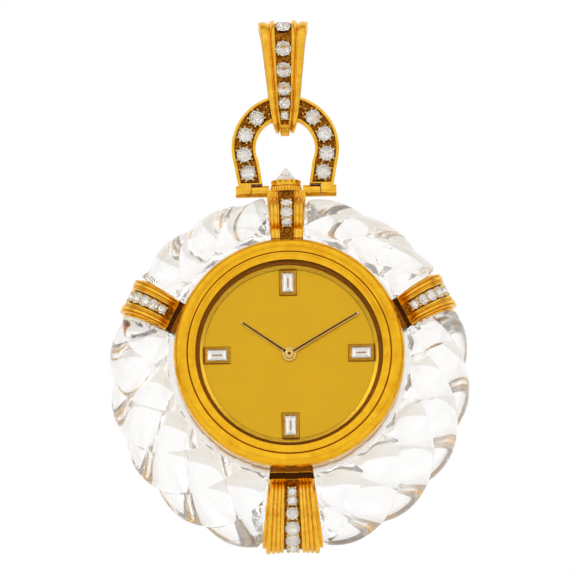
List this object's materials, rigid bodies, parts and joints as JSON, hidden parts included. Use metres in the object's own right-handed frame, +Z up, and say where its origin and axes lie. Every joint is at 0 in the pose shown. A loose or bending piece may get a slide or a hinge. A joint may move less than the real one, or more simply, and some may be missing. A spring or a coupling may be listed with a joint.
{
  "type": "pendant watch",
  "caption": "Round gold pendant watch in a carved twisted rock crystal ring with gem-set straps, a top crown, a hinged horseshoe link and a tapering bail.",
  "frame": {"origin": "middle of the eye of the bail, where the chain runs", "axes": "+Z up along the hanging line, -Y out of the dial towards the viewer, +X to three o'clock"},
  "size_m": [0.0503, 0.0105, 0.076],
  "materials": {
    "gold": "polished yellow gold",
    "dial_gold": "horizontally brushed satin gold",
    "rock_crystal": "polished clear rock crystal",
    "diamond": "faceted colourless stones",
    "glass": "clear watch glass",
    "steel": "polished steel",
    "movement": "nickel-plated brass",
    "wheel_brass": "gilt brass",
    "seal": "black rubber",
    "ruby": "synthetic ruby"
  },
  "bodies": {
    "bail": {"bail_strap": "gold", "bail_stones": "diamond"},
    "link": {"link_frame": "gold", "link_stones": "diamond", "hinge_pins": "gold"},
    "crown_carrier": {"crown_gasket": "seal"},
    "crown": {"crown_cap": "gold", "crown_stone": "diamond", "winding_stem": "steel"},
    "minute_work": {"centre_arbor": "steel", "cannon_pinion": "steel", "minute_hand": "gold"},
    "hour_work": {"hour_wheel": "wheel_brass", "hour_hand": "gold"},
    "motion_wheel": {"minute_wheel": "wheel_brass"},
    "head": {"crystal_ring": "rock_crystal", "bezel": "gold", "case_middle": "gold", "case_back": "gold", "case_back_gasket": "seal", "watch_glass": "glass", "glass_gasket": "seal", "rehaut_ring": "gold", "dial": "dial_gold", "marker_settings": "gold", "marker_stones": "diamond", "main_plate": "movement", "movement_holder": "movement", "barrel_bridge": "movement", "train_bridge": "movement", "balance_cock": "movement", "movement_screws": "steel", "bearing_jewels": "ruby", "pendant_tube": "gold", "top_strap": "gold", "left_strap": "gold", "right_strap": "gold", "bottom_strap": "gold", "top_strap_stones": "diamond", "left_strap_stones": "diamond", "right_strap_stones": "diamond", "bottom_strap_stones": "diamond"}
  },
  "joints": [
    {"name": "link_swing", "type": "hinge", "parent": "bail", "child": "link", "pos_m": [0, 0, -0.0101], "axis": [1, 0, 0], "range_deg": [-20, 20]},
    {"name": "head_hinge", "type": "hinge", "parent": "link", "child": "head", "pos_m": [0, 0, -0.0212], "axis": [1, 0, 0], "range_deg": [-90, 90]},
    {"name": "crown_pull", "type": "slide", "parent": "head", "child": "crown_carrier", "axis": [0, 0, 1], "range_m": [0, 0.0006]},
    {"name": "crown_turn", "type": "hinge", "parent": "crown_carrier", "child": "crown", "pos_m": [0, 0, -0.02105], "axis": [0, 0, 1], "continuous": true},
    {"name": "minute_turn", "type": "hinge", "parent": "head", "child": "minute_work", "pos_m": [0, 0, -0.0449], "axis": [0, 1, 0], "continuous": true},
    {"name": "hour_turn", "type": "hinge", "parent": "head", "child": "hour_work", "pos_m": [0, 0, -0.0449], "axis": [0, 1, 0], "continuous": true},
    {"name": "motion_wheel_turn", "type": "hinge", "parent": "head", "child": "motion_wheel", "pos_m": [0.00185, 0, -0.04711], "axis": [0, 1, 0], "continuous": true}
  ],
  "couplings": [
    {"joint": "hour_turn", "follows": "minute_turn", "ratio": 0.083333},
    {"joint": "motion_wheel_turn", "follows": "minute_turn", "ratio": -0.33333}
  ]
}
